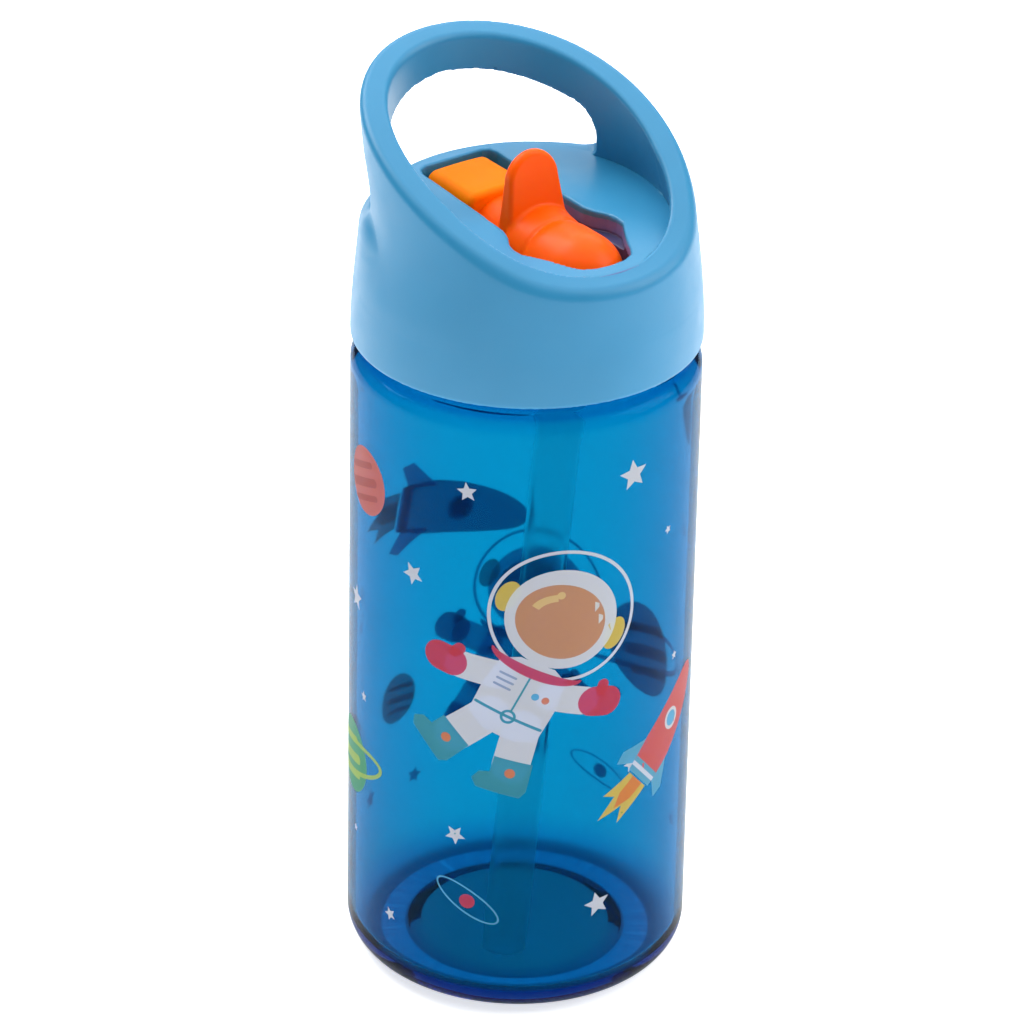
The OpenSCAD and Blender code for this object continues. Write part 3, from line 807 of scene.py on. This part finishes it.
def astronaut(centre, angle, size):
    def put(ink, pts, layer=0):
        fill(ink, placed(pts, centre, angle, size), layer)
    for p, q, w in (((-6, -5), (-14.5, -7.6), 3.3), ((6, -5), (13.5, -3.6), 3.3),
                    ((-3.6, -14), (-8.2, -24), 4.0), ((3.8, -14), (6.0, -24), 4.0)):
        put("white", pill(p, q, w))
    put("white", [(-7.6, -1.0), (-8.4, -8), (-8.0, -16), (-4, -18.2), (4, -18.2), (8.0, -16),
                  (8.4, -8), (7.6, -1.0), (4, 1.0), (-4, 1.0)], 1)
    put("red", pill((-16.2, -8.0), (-19.0, -8.6), 3.5), 2)
    put("red", pill((-16.6, -5.6), (-16.0, -4.2), 1.3), 3)
    put("red", pill((15.6, -3.2), (18.6, -2.4), 3.5), 2)
    put("red", pill((16.4, -0.6), (16.0, 1.0), 1.3), 3)
    for x, tilt in ((-9.0, -22), (6.6, 12)):
        boot = [(-4.2, 3.2), (4.2, 3.2), (4.4, -3.6), (3.4, -5.4), (-6.2, -5.4), (-7.6, -3.6),
                (-6.4, -1.4), (-4.2, -0.8)]
        put("teal", placed(boot, (x, -25.4), tilt), 2)
        put("orange", placed(oval(1.15, 1.15, 20), (x, -25.4), tilt), 3)
    put("teal", pill((-7.6, -13.2), (7.6, -13.2), 0.35), 2)
    put("teal", pill((0, -2), (0, -11.5), 0.22), 2)
    for half in band((1.7, 1.7), 0.6):
        put("teal", [(x, y - 13.2) for x, y in half], 3)
    for k in range(3):
        put("grey", pill((-6.2, -4.2 - 1.5 * k), (-2.6, -4.2 - 1.5 * k), 0.28), 2)
    put("sky", placed(oval(0.85, 0.85, 18), (3.0, -6.4)), 2)
    put("orange", placed(oval(0.85, 0.85, 18), (5.4, -6.4)), 2)
    for side in (-1, 1):
        put("yellow", placed(oval(2.4, 3.8, 28), (side * 12.9, 12.6)), 1)
    put("white", placed(oval(12.4, 11.6, 56), (0, 12.4)), 2)
    put("gold", placed(oval(10.0, 8.6, 52), (0, 11.8)), 3)
    put("shine", placed(oval(7.6, 6.2, 24, 118, 170) + oval(5.8, 4.6, 24, 170, 118), (0, 11.8)), 4)
    put("shine", placed(oval(0.9, 0.9, 18), (-2.8, 17.4)), 4)
    for half in band((16.4, 15.4), 0.75):
        put("white", [(x, y + 13.2) for x, y in half], 3)
    put("red", placed(oval(10.6, 3.4, 30, 180, 360) + oval(10.0, 1.0, 30, 360, 180), (0, 0.6)), 5)


def planet(centre, radius, base, shade, ring=None, angle=0.0):
    fill(base, placed(oval(radius, radius, 48), centre))
    for off, w in ((0.45, 0.10), (-0.05, 0.13), (-0.5, 0.09)):
        x = radius * math.sqrt(1 - off * off) - 0.25
        fill(shade, placed(pill((-x * 0.9, off * radius), (x * 0.5, off * radius), w * radius),
                           centre, angle), 1)
    if ring:
        for half in band((radius * 1.75, radius * 0.5), radius * 0.13):
            fill(ring, placed(half, centre, angle), 2)


def rocket(centre, angle, size):
    def put(ink, pts, layer=0):
        fill(ink, placed(pts, centre, angle, size), layer)
    put("yellow", [(-3.6, -12), (-5.4, -20), (-2.8, -18.4), (-1.8, -25), (0.6, -19), (3.0, -22.5),
                   (3.6, -12)])
    put("orange", [(-2.0, -12), (-2.2, -17), (-0.6, -20.5), (1.4, -16.5), (2.0, -12)], 1)
    for s in (-1, 1):
        put("sky", [(s * 4.4, -2), (s * 9.4, -9.5), (s * 8.6, -12.6), (s * 4.0, -9.5)], 1)
    body = [(-4.6, -11)] + [(-5.6 * math.cos(t) ** 0.8, -3 + 21 * math.sin(t))
                            for t in np.linspace(0, math.pi / 2 - 0.05, 10)]
    body += [(0, 18.2)] + [(-x, y) for x, y in reversed(body)]
    put("coral", body, 2)
    put("sky", [(-4.9, -8), (4.9, -8), (4.5, -11.6), (-4.5, -11.6)], 3)
    put("white", [(-4.85, -9.2), (4.85, -9.2), (4.75, -10.2), (-4.75, -10.2)], 4)
    put("white", placed(oval(2.7, 2.7, 30), (0, 4)), 3)
    put("sky", placed(oval(1.9, 1.9, 26), (0, 4)), 4)


def orbit(centre, angle):
    for half in band((8.2, 2.9), 0.42):
        fill("sky", placed(half, centre, angle))
    fill("red", placed(oval(1.75, 1.75, 24), centre), 1)


GIRTH = 2 * math.pi * BODY_R
astronaut((3.4, 86.9), -25.7, 1.0)
planet((-40.6, 119.6), 7.6, "salmon", "rust", None, 20)
planet((-48.0, 49.5), 8.6, "green", "lime", "lime", 12)
orbit((-10.4, 28.4), -33)
rocket((36.6, 62.0), -48, 0.95)
# small stars: distance round the wall, height, size, turn
for a, z, s, turn in ((-11.8, 127.1, 2.3, 8), (-24.4, 104.5, 2.7, 30), (-45.5, 89.3, 3.0, 0),
                      (24.4, 128.9, 3.6, 6), (35.5, 111.9, 1.1, 20), (39.9, 79.7, 1.1, 0),
                      (26.1, 59.0, 2.0, 15), (-13.3, 44.4, 2.4, 40), (18.3, 26.6, 3.1, 12),
                      (-30.1, 18.4, 1.7, 25), (-45.2, 32.4, 1.0, 0), (-41.0, 67.3, 1.3, 10),
                      (62.0, 98.0, 2.6, 12), (66.0, 24.0, 2.2, 30), (78.0, 128.0, 2.8, 0),
                      (-63.0, 72.0, 2.0, 10), (-66.0, 130.0, 2.2, 22), (-72.0, 24.0, 2.8, 4),
                      (-90.0, 22.0, 2.2, 14), (92.0, 44.0, 1.8, 33), (112.0, 132.0, 2.4, 18)):
    star((a, z), s, turn)
planet((62.0, 126.0), 6.4, "yellow", "orange", None, -20)
astronaut((GIRTH / 2, 54.0), 20, 0.95)
rocket((-97.0, 88.0), 104, 1.15)
planet((84.0, 58.0), 11.0, "salmon", "rust", "pale", -16)
planet((-84.0, 44.0), 6.0, "lime", "green", None, 10)
orbit((96.0, 22.0), 20)

for key, (verts, faces) in ART.items():
    if faces:
        dress(mesh_object("print_" + key, verts, faces), "bottle", INK_MATS[key], "clear_blue")


# ---------------------------------------------------------------- stage, light, camera
def stage_floor():
    m, nt, b = new_material("paper")
    vary(nt, noise(nt, 3.0, 2.0), (0.93, 0.93, 0.935), (0.95, 0.95, 0.955), b.inputs["Base Color"])
    b.inputs["Roughness"].default_value = 0.9
    b.inputs["Emission Color"].default_value = (1, 1, 1, 1)
    b.inputs["Emission Strength"].default_value = 0.68
    me = bpy.data.meshes.new("floor")
    half = 6.0
    corners = [(-half, -half, 0), (half, -half, 0), (half, half, 0), (-half, half, 0)]
    me.from_pydata(corners, [], [(0, 1, 2, 3)])
    ob = bpy.data.objects.new("floor", me)
    ob.data.materials.append(m)
    bpy.context.scene.collection.objects.link(ob)


def area_light(name, where, target, size, power):
    data = bpy.data.lights.new(name, "AREA")
    data.shape, data.size, data.size_y = "RECTANGLE", size[0], size[1]
    data.energy = power
    ob = bpy.data.objects.new(name, data)
    ob.location = where
    ob.rotation_mode = "QUATERNION"
    ob.rotation_quaternion = (Vector(target) - Vector(where)).to_track_quat("-Z", "Y")
    bpy.context.scene.collection.objects.link(ob)


def camera():
    """Sets the camera by its distance, height and angles (m and radians); returns its turn."""
    around, away, height = math.radians(-37.0), 1.0761, 0.6843
    yaw, pitch, roll = -0.0022, 0.4947, 0.0201
    turn = Matrix.Rotation(around, 3, "Z")
    look = turn @ Vector((math.sin(yaw) * math.cos(pitch), math.cos(yaw) * math.cos(pitch),
                          -math.sin(pitch)))
    right = turn @ Vector((math.cos(yaw), -math.sin(yaw), 0))
    up = right.cross(look)
    r2 = right * math.cos(roll) + up * math.sin(roll)
    u2 = -right * math.sin(roll) + up * math.cos(roll)
    data = bpy.data.cameras.new("camera")
    data.sensor_width, data.lens = 36.0, 202.2
    data.clip_start, data.clip_end = 0.05, 30.0
    ob = bpy.data.objects.new("camera", data)
    bpy.context.scene.collection.objects.link(ob)
    place = Matrix((r2, u2, -look)).transposed().to_4x4()
    place.translation = turn @ Vector((0, -away, height))
    ob.matrix_world = place
    bpy.context.scene.camera = ob
    return turn


stage_floor()
TURN_TO_CAMERA = camera()
for name, where, size, power in (
        ("key", (1.9, 0.1, 1.4), (1.4, 1.4), 24.0), ("top", (0, 0.3, 2.3), (3.2, 3.2), 54.0),
        ("left", (-1.1, 0.9, 2.0), (1.4, 1.4), 34.0), ("back", (0.3, 2.4, 1.6), (2.4, 1.2), 20.0)):
    area_light(name, TURN_TO_CAMERA @ Vector(where), (0, 0, 0.1), size, power)
world = bpy.data.worlds.new("studio")
bpy.context.scene.world = world
world.use_nodes = True
world.node_tree.nodes["Background"].inputs["Color"].default_value = (0.95, 0.97, 1.0, 1)
world.node_tree.nodes["Background"].inputs["Strength"].default_value = 0.24
bpy.context.scene.view_settings.view_transform = "Standard"
